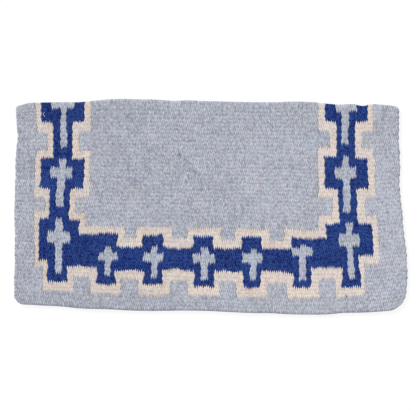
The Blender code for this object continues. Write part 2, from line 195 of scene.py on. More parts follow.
CREAM_OUTER_EDGE = (
    (36.0, ABOVE_FOLD), (37.4, 132.7), (47.3, 132.7), (47.3, 150.0), (36.1, 150.0), (33.8, 197.9),
    (45.3, 197.9), (45.3, 210.7), (33.7, 210.7), (35.3, 267.3), (42.9, 267.3), (42.9, 291.5),
    (73.8, 291.5), (73.8, 277.2), (90.8, 277.2), (90.8, 293.5), (120.7, 293.5), (120.7, 279.7),
    (138.1, 279.7), (138.1, 294.2), (154.0, 296.5), (170.5, 294.2), (170.5, 281.1), (188.0, 281.1),
    (188.0, 296.5), (220.6, 296.5), (220.6, 281.7), (235.9, 281.7), (235.9, 298.1), (268.0, 296.9),
    (268.0, 283.4), (286.5, 283.4), (286.5, 298.8), (319.5, 297.4), (319.5, 279.0), (335.3, 279.0),
    (335.3, 298.4), (364.7, 296.0), (364.7, 264.4), (380.2, 264.4), (377.7, 215.6), (365.5, 215.6),
    (365.5, 197.6), (376.3, 197.6), (373.9, 148.6), (362.1, 148.6), (362.4, 132.2), (373.2, 130.8),
    (373.2, ABOVE_FOLD),
)
CREAM_INNER_EDGE = (
    (90.8, ABOVE_FOLD), (92.0, 131.8), (79.7, 132.0), (79.7, 150.5), (90.8, 150.5), (89.7, 197.4),
    (75.8, 197.4), (75.8, 212.9), (85.5, 212.9), (85.5, 225.2), (124.6, 227.0), (124.6, 237.6),
    (136.2, 237.6), (136.2, 226.5), (172.2, 226.5), (172.2, 237.6), (187.6, 237.6), (187.6, 229.2),
    (220.8, 226.8), (220.8, 240.2), (235.1, 240.2), (235.1, 227.4), (269.8, 230.0), (269.8, 241.0),
    (283.9, 241.0), (283.9, 228.0), (318.3, 231.7), (318.3, 215.1), (332.7, 215.1), (332.7, 197.6),
    (318.7, 197.6), (317.6, 147.0), (330.1, 147.0), (330.1, 130.6), (318.0, 130.6), (318.0, ABOVE_FOLD),
)

# Crosses: the stem's left and right side at its top and at its foot, its top and its foot,
# and the arms' left end, right end, top and bottom
CROSSES = {
    "left_fold": ((61.0, 66.2, 60.8, 67.4), (ABOVE_FOLD, 147.0), (51.4, 74.0, ABOVE_FOLD, 108.2)),
    "left_middle": ((59.2, 66.7, 55.2, 63.3), (158.3, 206.4), (50.3, 72.4, 167.7, 178.5)),
    "left_corner": ((55.5, 63.0, 54.5, 61.5), (219.3, 273.0), (47.5, 70.5, 230.9, 242.0)),
    "right_fold": ((342.2, 349.0, 341.3, 348.6), (ABOVE_FOLD, 143.4), (335.7, 356.6, ABOVE_FOLD, 111.5)),
    "right_middle": ((342.6, 349.2, 343.5, 351.0), (156.5, 212.6), (334.9, 356.4, 167.8, 178.4)),
    "right_corner": ((346.2, 352.7, 348.4, 354.8), (222.8, 278.4), (339.2, 359.6, 234.3, 246.6)),
    "row_1": ((104.6, 111.6, 104.0, 110.3), (247.2, 275.6), (98.5, 117.8, 251.6, 259.4)),
    "row_2": ((150.9, 157.4, 150.7, 157.4), (246.8, 278.3), (143.2, 163.6, 252.7, 261.7)),
    "row_3": ((200.5, 208.9, 200.9, 208.2), (248.6, 280.1), (193.0, 214.8, 253.3, 262.9)),
    "row_4": ((250.4, 256.8, 249.7, 256.8), (248.7, 280.2), (242.5, 262.7, 253.8, 262.3)),
    "row_5": ((299.5, 306.2, 299.1, 305.9), (244.5, 280.5), (291.9, 313.1, 247.8, 255.4)),
}

# Greatest width of each strip of flat cloth, and its length along its middle from fold to fold
SHEETS = {"margin": (0.082, 1.72), "blue_band": (0.098, 1.42), "field": (0.572, 0.315)}

# Colours, as they render under plain light
GREY_BLUE = (170.4, 174.2, 186.1)
BLUE = (18, 46, 114)
CREAM = (214, 202, 195)
CROSS_GREY = (170, 175, 188)
DARK_FLECK = (66, 70, 86)
BLUE_FLECK = (96, 122, 164)
LINT_WHITE = (178, 190, 222)
WHITE = (1.0, 1.0, 1.0, 1.0)

# Wool's finish
WOOL_ROUGHNESS = 0.93
WOOL_SPECULAR = 0.08
WOOL_SHEEN = 0.03
SHEEN_ROUGHNESS = 0.6
LINT_ROUGHNESS = 0.9
BUMP_STRENGTH = 0.5
BUMP_DEPTH = 0.0010
BEAD_HEIGHT = 0.5
FIBRE_HEIGHT = 0.5

# How strongly each of the wool's unevennesses shows, and the shade and light painted on its beads
YARN_GAIN = 0.80
STROKE_GAIN = 2.7
FIBRE_GAIN = 1.4
BAND_GAIN = 0.30
DRIFT_GAIN = 0.45
# painted shade in the valleys between beads, lighter on their crests
VALLEY_SHADE_GAIN = 0.55
# painted light on each bead's left flank and painted shade on its right, as from a sun at the upper left
LIT_FLANK_GAIN = 0.10
TWIST_GAIN = 1.2
FINE_HUE = 0.8
BROAD_HUE = 0.5
WARM_WAY = (1, 0, -1)  # which way red, green and blue go where the wool is warmer

# How fast each of them changes: steps of noise for one column, one rib and one leaf, its start and its detail
NOISES = {
    "yarn": (7.3, 0.2, 3, 0.0, 0.0),
    "slip": (3.7, 5, 0, 0.0, 0.0),  # its second step is for one leaf
    "stroke": (7.3, 1, 5, 0.0, 1.0),  # its second step is for one stroke, as the twist's is
    "fibre": (2.1, 1.5, 7, 0.0, 2.0),
    "twist": (5.1, 1, 13, 0.0, 0.0),
    "band": (0.045, 5.7, 9, 0.0, 0.0),
    "drift": (0.022, 0.07, 3, 4.5, 2.0),
    "tint": (0.25, 0.8, 11, 0.0, 0.0),
    "warmth": (0.05, 0.2, 11, 6.3, 0.0),
}
NOISE_ROUGHNESS = 0.6
NOISE_MIDDLE = 0.5
RIDGE_MIDDLE = 0.67
TONE_MIDDLE = 0.5  # how far the mean tone is from the dark wool to the light one
SLIP_LENGTH = 9  # how far apart the strokes of two strands may start
LEAN_AT_FOLD = 0.4  # share of the lean from left to right, painted light in the grey blue wool, that is left at the fold
FOLD_SHADE = 0.03  # how much darker the wool is at the fold
FOLD_SHADE_RIBS = 12.0
HEM_SHADE = 0.10  # and at the hem
HEM_SHADE_RIBS = 6.0

# Flecks of another wool spun into the yarn, dark specks between the ribs' ends at the left selvedge and a
# dark knob on the hem: where they are in the photograph, and how strong
DARK_FLECKS = (
    (179.5, 154.5, 1.0), (195.5, 173.7, 0.5), (346.5, 296.5, 1.0), (384.6, 246.6, 0.5), (20.4, 132.5, 0.6),
    (16.7, 148.2, 0.5), (23.5, 300.3, 0.5), (382.4, 119.0, 0.6), (152.5, 309.8, 0.5),
)
BLUE_FLECKS = ((201.5, 189.5, 1.0), (127.5, 116.4, 0.9), (277.5, 235.5, 0.7))
FLECK_WIDTH = 0.0024
FLECK_LENGTH = 0.0030

# Curl of lint on the band
STRAY_CURL = ((44.9, 112.2), (43.4, 113.2), (43.1, 114.3), (43.8, 115.5), (45.1, 116.3))
CURL_RADIUS = 0.00065
CURL_RISE = 0.0002
CURL_REST = 2 * COLUMN  # how far round it the beads are felt that it rests on

# Floor, light and camera
FLOOR_SIZE = 8.0
FLOOR_DROP = 0.0004  # how far under the cloth the floor lies
FLOOR_COLOUR = (0.9, 0.9, 0.9, 1.0)
FLOOR_ROUGHNESS = 0.8
FLOOR_GLOW = 1.03
FLOOR_WHITENESS = 0.85  # what share of the seen floor is plain white paper: the rest takes the shadow
WORLD_STRENGTH = 0.52
KEY_ENERGY = 2.1
KEY_ANGLE = math.radians(18)
KEY_DIRECTION = (0.62, -0.72, -1.0)
LENS = 200.0
SENSOR = 36.0
CAMERA_REACH = 50.0


def ease(share):
    """0 to 1 with no kink at either end."""
    share = np.clip(share, 0.0, 1.0)
    return share * share * (3 - 2 * share)


def tabled(table, at):
    """A table of pairs read as a curve."""
    places, values = zip(*table)
    return np.interp(at, places, values)


def x_of(column_pixel):
    """How far right of the middle a column of the photograph is."""
    return (column_pixel - MIDDLE_COLUMN_PIXEL) * PIXEL


def y_of(row_pixel):
    """How far back a row of the photograph is."""
    return FOLD_Y + OUTSIDE_RADIUS - (row_pixel - FOLD_PIXEL) * PIXEL


def pixel_of(x):
    """The column of the photograph that shows x."""
    return x / PIXEL + MIDDLE_COLUMN_PIXEL


def fold_pixel(column_pixel):
    """How far down the photograph the straight line of the fold is."""
    return FOLD_PIXEL + FOLD_SLOPE * (column_pixel - MIDDLE_COLUMN_PIXEL)


# Places in the cloth: u is the distance right of its middle while it is flat, and s that from the fold

columns = np.arange(-COLUMNS, COLUMNS + 1)
column_u = columns * COLUMN

SELVEDGES = (
    (-1, LEFT_SELVEDGE, LEFT_DRAW_IN, LEFT_WAIST, LEFT_WAIST_LENGTH),
    (1, RIGHT_SELVEDGE, RIGHT_DRAW_IN, RIGHT_WAIST, RIGHT_WAIST_LENGTH),
)


def across(u, s):
    """Where a weft line lies across the leaf, with each selvedge where the photograph has it."""
    drawn = 1 - ease((s - DRAW_IN_START) / (DRAW_IN_END - DRAW_IN_START))
    x = u * (1 - np.where(u > 0, RIGHT_DRAW_IN, LEFT_DRAW_IN) / HALF_WIDTH * drawn)
    for side, selvedge, draw_in, waist_depth, waist_length in SELVEDGES:
        waist = waist_depth * np.clip(1 - s / waist_length, 0, 1)
        solid_edge = side * (HALF_WIDTH - draw_in * drawn)
        row_pixel = fold_pixel(pixel_of(solid_edge)) + s / PIXEL
        seen_edge = x_of(tabled(selvedge, row_pixel)) - side * waist
        felt = 1 - ease((HALF_WIDTH - side * u) / EDGE_REACH)
        x = x + (seen_edge - solid_edge) * felt
    return x


def dip(x, s):
    """How far the cloth lies below the straight fold line near the fold."""
    return tabled(FOLD_DIPS, pixel_of(x)) * PIXEL * (1 - ease(s / DRAPE_LENGTH))


def hem_distances():
    """Distance from the fold to the hem, for each column."""
    column_pixels = pixel_of(column_u)
    return (tabled(HEM, column_pixels) - fold_pixel(column_pixels)) * PIXEL


hem_s = hem_distances()


# Colour areas: each one's edge encloses it, and the areas after it that lie within it


def cross_corners(stem, ends, arms):
    """The corners of a cross, clockwise from its upper left and back to it."""
    stem_left, stem_right, foot_left, foot_right = stem
    top, bottom = ends
    arm_left, arm_right, arm_top, arm_bottom = arms
    seen_top = max(top, FOLD_PIXEL)
    share = (arm_bottom - seen_top) / (bottom - seen_top)
    left = stem_left + (foot_left - stem_left) * share
    right = stem_right + (foot_right - stem_right) * share
    corners = [(arm_right, arm_bottom), (right, arm_bottom), (foot_right, bottom), (foot_left, bottom)]
    corners += [(left, arm_bottom), (arm_left, arm_bottom)]
    if top <= ABOVE_FOLD:
        corners = [(arm_left, top), (arm_right, top)] + corners
    else:
        head = [(arm_left, arm_top), (stem_left, arm_top), (stem_left, top), (stem_right, top)]
        corners = head + [(stem_right, arm_top), (arm_right, arm_top)] + corners
    return corners + corners[:1]


def runs_of(corners):
    """An edge's corners, grouped by the stretches that lie along a rib."""
    runs = [[corners[0]]]
    for before, corner in zip(corners, corners[1:]):
        if abs(corner[0] - before[0]) > abs(corner[1] - before[1]):
            runs[-1].append(corner)
        else:
            runs.append([corner])
    return runs


def rib_at(run):
    """The number of the rib line that a stretch of an edge lies nearest to."""
    ribs = []
    for column_pixel, row_pixel in run:
        leaf_length = np.interp(x_of(column_pixel), column_u, hem_s)
        ribs.append((row_pixel - fold_pixel(column_pixel)) * PIXEL / leaf_length * RIBS)
    return round(float(np.mean(ribs)))


def on_ribs(corners):
    """An edge's corners as (pixel across, rib line), and its stretches along ribs, each with its rib line."""
    numbered = []
    stretches = []
    for run in runs_of(corners):
        past_fold = run[0][1] <= ABOVE_FOLD
        rib = RIB_PAST_FOLD if past_fold else rib_at(run)
        numbered += [(column_pixel, rib) for column_pixel, _ in run]
        if len(run) > 1 and not past_fold:
            stretches.append((sorted(run), rib))
    return numbered, stretches


EDGES = {
    "outer_outline": on_ribs(CREAM_OUTER_EDGE),
    "blue_band": on_ribs(BLUE_OUTER_EDGE),
    "inner_outline": on_ribs(BLUE_INNER_EDGE),
    "field": on_ribs(CREAM_INNER_EDGE),
}
for cross_name, cross in CROSSES.items():
    EDGES["cross_" + cross_name] = on_ribs(cross_corners(*cross))
AREAS = ["margin", *EDGES]


def rib_lines():
    """Distance from the fold to each rib line, for each column: ribs bend to meet the pattern's edges."""
    stretches = [stretch for _, found in EDGES.values() for stretch in found if 0 < stretch[1] < RIBS]
    lines = np.empty((RIBS + 1, len(columns)))
    for number, u in enumerate(column_u):
        met = {0: 0.0, RIBS: hem_s[number]}
        for run, rib in stretches:
            column_pixels, row_pixels = zip(*run)
            run_s = (np.mean(row_pixels) - fold_pixel(np.mean(column_pixels))) * PIXEL
            column_pixel = pixel_of(across(u, run_s))
            if column_pixels[0] - MEETING_SLACK <= column_pixel <= column_pixels[-1] + MEETING_SLACK:
                row_pixel = np.interp(column_pixel, column_pixels, row_pixels)
                s = (row_pixel - fold_pixel(column_pixel)) * PIXEL
                s = s - dip(x_of(column_pixel), s)
                met[rib] = (met.get(rib, s) + s) / 2
        lines[:, number] = tabled(sorted(met.items()), np.arange(RIBS + 1))
    return lines


def smoothed(lines):
    """The lines with their bends eased over neighbouring columns."""
    reach = int(SMOOTHING_REACH * SMOOTHED_COLUMNS)
    weights = np.exp(-0.5 * (np.arange(-reach, reach + 1) / SMOOTHED_COLUMNS) ** 2)
    weights /= weights.sum()
    padded = np.pad(lines, ((0, 0), (reach, reach)), mode="edge")
    return np.array([np.convolve(line, weights, mode="valid") for line in padded])


sharp_lines = rib_lines()
soft_lines = smoothed(sharp_lines)


def inside(x, y, corners):
    """Whether each point lies inside the closed outline."""
    found = np.zeros(x.shape, bool)
    for (x0, y0), (x1, y1) in zip(corners, corners[1:] + corners[:1]):
        if y0 != y1:
            crossed = (y0 > y) != (y1 > y)
            found ^= crossed & (x < (x1 - x0) * (y - y0) / (y1 - y0) + x0)
    return found


def bead_areas():
    """For each rib and column, the number in AREAS of the area that a bead there belongs to."""
    middles = (sharp_lines[:-1] + sharp_lines[1:]) / 2
    column_pixel = pixel_of(across(column_u, middles))
    middle_rib = np.arange(RIBS)[:, None] + 0.5
    area = np.zeros(middles.shape, int)
    for name, (corners, _) in EDGES.items():
        area[inside(column_pixel, middle_rib, corners)] = AREAS.index(name)
    return area


bead_area = bead_areas()

# Points of the cloth: which rib each row of points is on, how far down it, and which points are on beads

rows_below = np.arange((RIBS - 1) * RIB_ROWS + 1)
row_place = np.concatenate([np.arange(FOLD_ROWS) / FOLD_ROWS, 1 + rows_below / RIB_ROWS])
row_rib = np.concatenate([np.zeros(FOLD_ROWS, int), np.minimum(1 + rows_below // RIB_ROWS, RIBS - 1)])
row_share = np.clip(row_place - row_rib, 0, 1)[:, None]
ROWS = len(row_place)
on_bead = (columns + row_rib[:, None]) % 2 == 0


def cell_areas():
    """For each cell between two rows and two columns, the number of its area."""
    rib = row_rib[:-1, None]
    left = columns[:-1]
    bead = np.where((left + rib) % 2 == 0, left, left + 1)
    return bead_area[rib, bead + COLUMNS]


cell_area = cell_areas()


def colour_ends():
    """For each rib line and column, whether the bead that ends there meets another colour."""
    found = np.zeros((RIBS + 1, len(columns)), bool)
    above, below = bead_area[:-1], bead_area[1:]
    place = np.arange(len(columns))
    left = np.maximum(place - 1, 0)
    right = np.minimum(place + 1, len(columns) - 1)
    bead_above = (columns + np.arange(RIBS - 1)[:, None]) % 2 == 0
    above_differs = (above != below[:, left]) | (above != below[:, right])
    below_differs = (below != above[:, left]) | (below != above[:, right])
    found[1:RIBS] = np.where(bead_above, above_differs, below_differs)
    return found


def row_distances():
    """Distance of every point from the fold, with the beads' tips reaching into the ribs beside them."""
    s = soft_lines[row_rib] * (1 - row_share) + soft_lines[row_rib + 1] * row_share
    draws = np.random.default_rng(TOOTH_SEED)
    tips = np.where(colour_ends(), TOOTH_LENGTH, TIP_LENGTH)
    tips = tips * draws.uniform(1 - TOOTH_UNEVENNESS, 1 + TOOTH_UNEVENNESS, tips.shape)
    tips[[0, RIBS]] = 0
    s = s + np.where(on_bead, 1, -1) * (tips[row_rib + 1] * row_share - tips[row_rib] * (1 - row_share))
    room = ROW_ROOM * np.arange(ROWS)[:, None]
    return np.maximum.accumulate(s - room, axis=0) + room


def eased_columns():
    """How far each point moves across so that a steep colour edge wavers less than half a bead."""
    moved = np.zeros((ROWS, len(columns)))
    edge = np.zeros((RIBS, len(columns)), bool)
    rib_area = cell_area[np.searchsorted(row_rib, np.arange(RIBS))]
    edge[:, 1:-1] = rib_area[:, 1:] != rib_area[:, :-1]
    for rib in range(1, RIBS - 1):
        beside = edge[rib - 1] & edge[rib + 1]
        rightward = np.zeros(len(columns))
        rightward[:-1] += beside[1:] & edge[rib][:-1]
        rightward[1:] -= beside[:-1] & edge[rib][1:]
        rows = np.nonzero(row_rib == rib)[0][1:]
        moved[rows] = rightward * COLUMN * ZIGZAG_EASING
    return moved


def relief():
    """Depth of every point under the beads' crests."""
    swell = np.sin(np.pi * row_share) ** BEAD_ROUNDNESS * np.where(on_bead, 1.0, VALLEY_SHARE)
    return RIB_DEPTH * (1 - swell)


point_s = row_distances()
point_depth = relief()


def lift(x, s):
    """How far the floor's and the wool's unevenness raises the cloth."""
    height = 0.0
    for size, along_x, along_s, start in WAVES:
        height = height + size * (1 + np.sin(2 * np.pi * (x / along_x + s / along_s) + start)) / 2
    height = height * (FOLD_WAVE_SHARE + (1 - FOLD_WAVE_SHARE) * ease(s / DRAPE_LENGTH))
    step = ease((x - x_of(CREASE_PIXEL)) / CREASE_WIDTH)
    fading = 1 - ease(s / CREASE_LENGTH)
    broad = np.exp(-((x / CREASE_BREADTH) ** 2))
    return height + CREASE_RISE * (1 - step) * broad * fading


def rounded_corner(u, s, side, radius):
    """Points near a hem corner drawn into its rounding."""
    p = np.clip(1 - (HALF_WIDTH - side * u) / radius, 0, 1)
    q = np.clip(1 - (hem_s - s) / radius, 0, 1)
    moved_p = p * np.sqrt(1 - q * q / 2)
    moved_q = q * np.sqrt(1 - p * p / 2)
    return u + side * (moved_p - p) * radius, s + (moved_q - q) * radius


def laid(u, s, height, side, inset):
    """Points of the cloth laid over the fold. side is 1 on the upper leaf and -1 on the lower leaf."""
    u, s = rounded_corner(u, s, -1, LEFT_HEM_CORNER)
    u, s = rounded_corner(u, s, 1, RIGHT_HEM_CORNER)
    x = across(u, s) * (1 - inset / HALF_WIDTH)
    s = s * (1 - inset / np.max(hem_s))
    middle_y = FOLD_Y - FOLD_SLOPE * x - dip(x, s)
    radius = FOLD_INSIDE_RADIUS + height
    turn = np.minimum(s, QUARTER_TURN) / MIDDLE_RADIUS
    y = middle_y + radius * np.cos(turn) * (s < QUARTER_TURN) - np.maximum(s - QUARTER_TURN, 0)
    z = FOLD_Z + side * radius * np.sin(turn)
    if side > 0:
        z = z - (2 * FOLD_INSIDE_RADIUS - LEAF_GAP) * ease((s - QUARTER_TURN) / DRAPE_LENGTH)
    z = z + lift(x, s)
    return np.stack([x, y, z], axis=-1)


def leaf_layers(side, inset):
    """Three layers of points: the outer face, the rim's middle and the inner face."""
    at_selvedge = np.abs(columns) == COLUMNS
    at_hem = (np.arange(ROWS) == ROWS - 1)[:, None]
    alternate = np.where((row_rib[:, None] + (columns > 0)) % 2 == 0, 1, -1)
    u = column_u + eased_columns()
    u = u + np.sign(u) * (alternate * RIM_SCALLOP * at_selvedge)
    depth = point_depth + np.where(at_selvedge | at_hem, RIM_DROP, 0.0)
    outer = laid(u, point_s, CLOTH_THICKNESS - depth, side, inset)
    inner = laid(u, point_s, depth, side, inset)
    bulged_u = u + np.sign(u) * RIM_BULGE * at_selvedge
    bulged_s = point_s + RIM_BULGE * at_hem
    middle = laid(bulged_u, bulged_s, CLOTH_THICKNESS / 2 + np.zeros(u.shape), side, inset)
    return outer, middle, inner


# Each point's number in the outer face. In the middle it is one LAYER more, and in the inner face two.
GRID = np.arange(ROWS * len(columns)).reshape(ROWS, len(columns))
LAYER = GRID.size


def wall_faces(chosen):
    """Walls round the chosen cells: straight down inside the cloth, and by the rim's middle along the rim."""
    around = np.pad(chosen, 1)
    # Each side of a cell: the neighbour there, and the row and column of the corners that it runs between
    sides = (
        (around[:-2, 1:-1], (0, 0), (0, 1)),
        (around[2:, 1:-1], (1, 1), (1, 0)),
        (around[1:-1, :-2], (1, 0), (0, 0)),
        (around[1:-1, 2:], (0, 1), (1, 1)),
    )
    walls = []
    for neighbour, start, end in sides:
        rows, cells = np.nonzero(chosen & ~neighbour)
        start_row, start_column = rows + start[0], cells + start[1]
        end_row, end_column = rows + end[0], cells + end[1]
        at_hem = (start_row == ROWS - 1) & (end_row == ROWS - 1)
        at_selvedge = (start_column % (2 * COLUMNS) == 0) & (end_column % (2 * COLUMNS) == 0)
        on_rim = at_hem | at_selvedge
        first = GRID[start_row, start_column]
        last = GRID[end_row, end_column]
        for upper, lower, kept in ((0, 2, ~on_rim), (0, 1, on_rim), (1, 2, on_rim)):
            top, bottom = upper * LAYER, lower * LAYER
            wall = np.stack([first + top, last + top, last + bottom, first + bottom], axis=1)
            walls.append(wall[kept])
    return walls


def cell_faces(chosen):
    """The outer faces of the chosen cells."""
    corners = (GRID[:-1, :-1], GRID[1:, :-1], GRID[1:, 1:], GRID[:-1, 1:])
    return np.stack([corner[chosen] for corner in corners], axis=1)


def cloth_places(side):
    """For each point of the three layers: its column, its place down the ribs and its leaf's side."""
    places = np.stack(np.broadcast_arrays(columns, row_place[:, None], side), axis=-1)
    return np.tile(places.reshape(-1, 3), (3, 1))


def fleck_amounts(points, side):
    """How much of a dark and of a blue fleck is at each point. Only the upper leaf has any."""
    amounts = np.zeros((len(points), 3))
    if side > 0:
        for kind, flecks in enumerate((DARK_FLECKS, BLUE_FLECKS)):
            for column_pixel, row_pixel, strength in flecks:
                dx = points[:, 0] - x_of(column_pixel)
                dy = points[:, 1] - y_of(row_pixel)
                near = np.exp(-((dx / FLECK_WIDTH) ** 2) - (dy / FLECK_LENGTH) ** 2)
                amounts[:, kind] = np.maximum(amounts[:, kind], strength * near)
    return amounts


def quad_mesh(name, points, faces):
    """A smooth mesh of four-sided faces."""
    mesh = bpy.data.meshes.new(name)
    mesh.vertices.add(len(points))
    mesh.vertices.foreach_set("co", points.astype(np.float32).ravel())
    mesh.loops.add(faces.size)
    mesh.loops.foreach_set("vertex_index", faces.astype(np.int32).ravel())
    mesh.polygons.add(len(faces))
    mesh.polygons.foreach_set("loop_start", np.arange(0, faces.size, 4, dtype=np.int32))
    mesh.polygons.foreach_set("use_smooth", np.ones(len(faces), bool))
    mesh.update(calc_edges=True)
    mesh.validate()
    return mesh


def add_vectors(mesh, name, vectors):
    """Gives each of a mesh's points a vector that its material reads."""
    attribute = mesh.attributes.new(name, "FLOAT_VECTOR", "POINT")
    attribute.data.foreach_set("vector", vectors.astype(np.float32).ravel())


def added(name, data):
    """A new object in the scene."""
    made = bpy.data.objects.new(name, data)
    bpy.context.scene.collection.objects.link(made)
    return made


def woven_piece(name, layers, chosen, side):
    """One closed piece of the chosen cells: its outer face, its inner face and the walls between them."""
    face = cell_faces(chosen)
    faces = np.concatenate([face, face[:, ::-1] + 2 * LAYER] + wall_faces(chosen))
    if side < 0:
        faces = faces[:, ::-1]
    used, index = np.unique(faces, return_inverse=True)
    points = np.concatenate([layer.reshape(-1, 3) for layer in layers])[used]
    mesh = quad_mesh(name, points, index.reshape(faces.shape))
    add_vectors(mesh, "cloth", cloth_places(side)[used])
    add_vectors(mesh, "fleck", fleck_amounts(points, side))
    return added(name, mesh)


# Materials


def linear(srgb):
    """A colour given as three numbers up to 255, in the linear values that a shader takes."""

    def channel(value):
        share = value / 255
        return share / 12.92 if share <= 0.04045 else ((share + 0.055) / 1.055) ** 2.4

    return (*map(channel, srgb), 1.0)


def shifted(colour, amount):
    """A colour made lighter by an amount up to 255, in linear values."""
    return linear([value + amount for value in colour])


class Wire:
    """A shader socket. Arithmetic on it adds Math nodes, and node() adds any other node."""

    def __init__(self, tree, socket=None):
        self.tree = tree
        self.socket = socket

    def node(self, kind, settings=None, sockets=None, output=0):
        """One output of a new node, with its settings made first and then its sockets' values or links."""
        made = self.tree.nodes.new("ShaderNode" + kind)
        for name, value in (settings or {}).items():
            setattr(made, name, value)
        for name, value in (sockets or {}).items():
            if isinstance(value, Wire):
                self.tree.links.new(value.socket, made.inputs[name])
            else:
                made.inputs[name].default_value = value
        return Wire(self.tree, made.outputs[output])

    def output(self, name):
        """Another output of the same node."""
        return Wire(self.tree, self.socket.node.outputs[name])

    def feed(self, socket):
        self.tree.links.new(self.socket, socket)

    def math(self, operation, *values):
        return self.node("Math", {"operation": operation}, dict(enumerate(values)))

    def __add__(self, other):
        return self.math("ADD", self, other)

    def __sub__(self, other):
        return self.math("SUBTRACT", self, other)

    def __rsub__(self, other):
        return self.math("SUBTRACT", other, self)

    def __mul__(self, other):
        return self.math("MULTIPLY", self, other)

    def __truediv__(self, other):
        return self.math("DIVIDE", self, other)

    __radd__ = __add__
    __rmul__ = __mul__

    def floored(self):
        return self.math("FLOOR", self)

    def rounded(self):
        return self.math("ROUND", self)

    def clamped(self):
        return self.math("MAXIMUM", self.math("MINIMUM", self, 1.0), 0.0)

    def blended(self, low, high):
        """The colour low where this is 0 and high where it is 1, by the node's colour sockets 6, 7 and 2."""
        settings = {"data_type": "RGBA", "clamp_factor": True}
        return self.node("Mix", settings, {"Factor": self, 6: low, 7: high}, output=2)

    def vector_math(self, operation, *values):
        return self.node("VectorMath", {"operation": operation}, dict(enumerate(values)))


def new_material(name, constants):
    """A material with its shader's plain values set, and that shader."""
    material = bpy.data.materials.new(name)
    material.use_nodes = True
    shader = material.node_tree.nodes["Principled BSDF"]
    for socket, value in constants.items():
        shader.inputs[socket].default_value = value
    return material, shader


def noise_reader(side, seed):
    """A reader of smooth noise that follows the cloth, with other noise on each leaf and in each wool."""

    def noise(kind, along, down, output=0):
        column_step, rib_step, leaf_step, start, detail = NOISES[kind]
        depth = side * leaf_step + (seed + start)
        place = side.node("CombineXYZ", sockets={0: along * column_step, 1: down * rib_step, 2: depth})
        sockets = {"Vector": place, "Scale": 1.0, "Detail": detail, "Roughness": NOISE_ROUGHNESS}
        return side.node("TexNoise", {"noise_dimensions": "3D"}, sockets, output)

    return noise


def tone_and_height(noise, column, rib, side, stroke_rate, lean):
    """The wool's tone, about 0 on the mean, with painted shade in the bead valleys and on right flanks and
    painted light on left flanks, and the height of its beads and fibres.
    """
    number = rib.floored()
    weft = ((column + number) / 2).rounded() * 2 - number
    dx = column - weft
    dy = (rib - number) * 2 - 1
    ridge = (1 - dx * dx).clamped()
    body = ridge * (1 - dy * dy).clamped()
    strand = column.rounded()
    run = rib * stroke_rate
    slip = noise("slip", strand, side)
    fibre = noise("fibre", column, rib)
    shade = (noise("yarn", weft, rib) - NOISE_MIDDLE) * YARN_GAIN
    shade = shade + (noise("stroke", strand, run + slip * SLIP_LENGTH) - NOISE_MIDDLE) * STROKE_GAIN
    shade = shade + (fibre - NOISE_MIDDLE) * FIBRE_GAIN
    shade = shade + (noise("band", column, number) - NOISE_MIDDLE) * BAND_GAIN
    shade = shade + (noise("drift", column, rib) - NOISE_MIDDLE) * DRIFT_GAIN
    # Painted shade in the valleys between beads, lighter on their crests
    shade = shade + (ridge - RIDGE_MIDDLE) * VALLEY_SHADE_GAIN
    # Random lighter and darker flanks from the yarn's twist, plus painted light on each left flank and
    # painted shade on each right flank
    shade = shade - dx * ((noise("twist", weft, run) - NOISE_MIDDLE) * TWIST_GAIN + LIT_FLANK_GAIN)
    # Lighter to the right, more so towards the hem: painted light in the grey blue wool, the cream's own tone
    # in the cream
    shade = shade + column * (LEAN_AT_FOLD + rib * (1 - LEAN_AT_FOLD) / RIBS) * lean
    shade = shade - (1 - rib / FOLD_SHADE_RIBS).clamped() * FOLD_SHADE
    shade = shade - (1 - (RIBS - rib) / HEM_SHADE_RIBS).clamped() * HEM_SHADE
    return shade, body * BEAD_HEIGHT + fibre * FIBRE_HEIGHT


def hue_spreads(colour, spread):
    """How far red, green and blue range as the hue drifts, from place to place and over broad stretches."""
    low, high = shifted(colour, -spread), shifted(colour, spread)
    ranges = [top - bottom for bottom, top in zip(low, high)][:3]
    fine = [width * FINE_HUE for width in ranges]
    warm = [width * BROAD_HUE * way for width, way in zip(ranges, WARM_WAY)]
    return fine, warm


def hued(noise, column, rib, shade, colour, tone_spread, hue_spread):
    """The colour of the wool, between a dark and a light one by its tone, with its hue drifting."""
    fine, warm = hue_spreads(colour, hue_spread)
    mean_hue = [(small + broad) / 2 for small, broad in zip(fine, warm)]
    dark, light = (
        (*(value - hue for value, hue in zip(shifted(colour, tone), mean_hue)), 1.0)
        for tone in (-tone_spread, tone_spread)
    )
    plain = (shade + TONE_MIDDLE).blended(dark, light)
    tinted = plain.vector_math("MULTIPLY_ADD", noise("tint", column, rib, output="Color"), fine, plain)
    tinted = plain.vector_math("MULTIPLY_ADD", noise("warmth", column, rib), warm, tinted)
    return plain.vector_math("MAXIMUM", tinted, (0.0, 0.0, 0.0))


def flecked(colour):
    """The colour with the flecks of another wool on it."""
    fleck = colour.node("Attribute", {"attribute_name": "fleck"}, output="Vector")
    dark_fleck = colour.node("SeparateXYZ", sockets={0: fleck})
    blue_fleck = dark_fleck.output("Y")
    return dark_fleck.blended(blue_fleck.blended(colour, linear(BLUE_FLECK)), linear(DARK_FLECK))


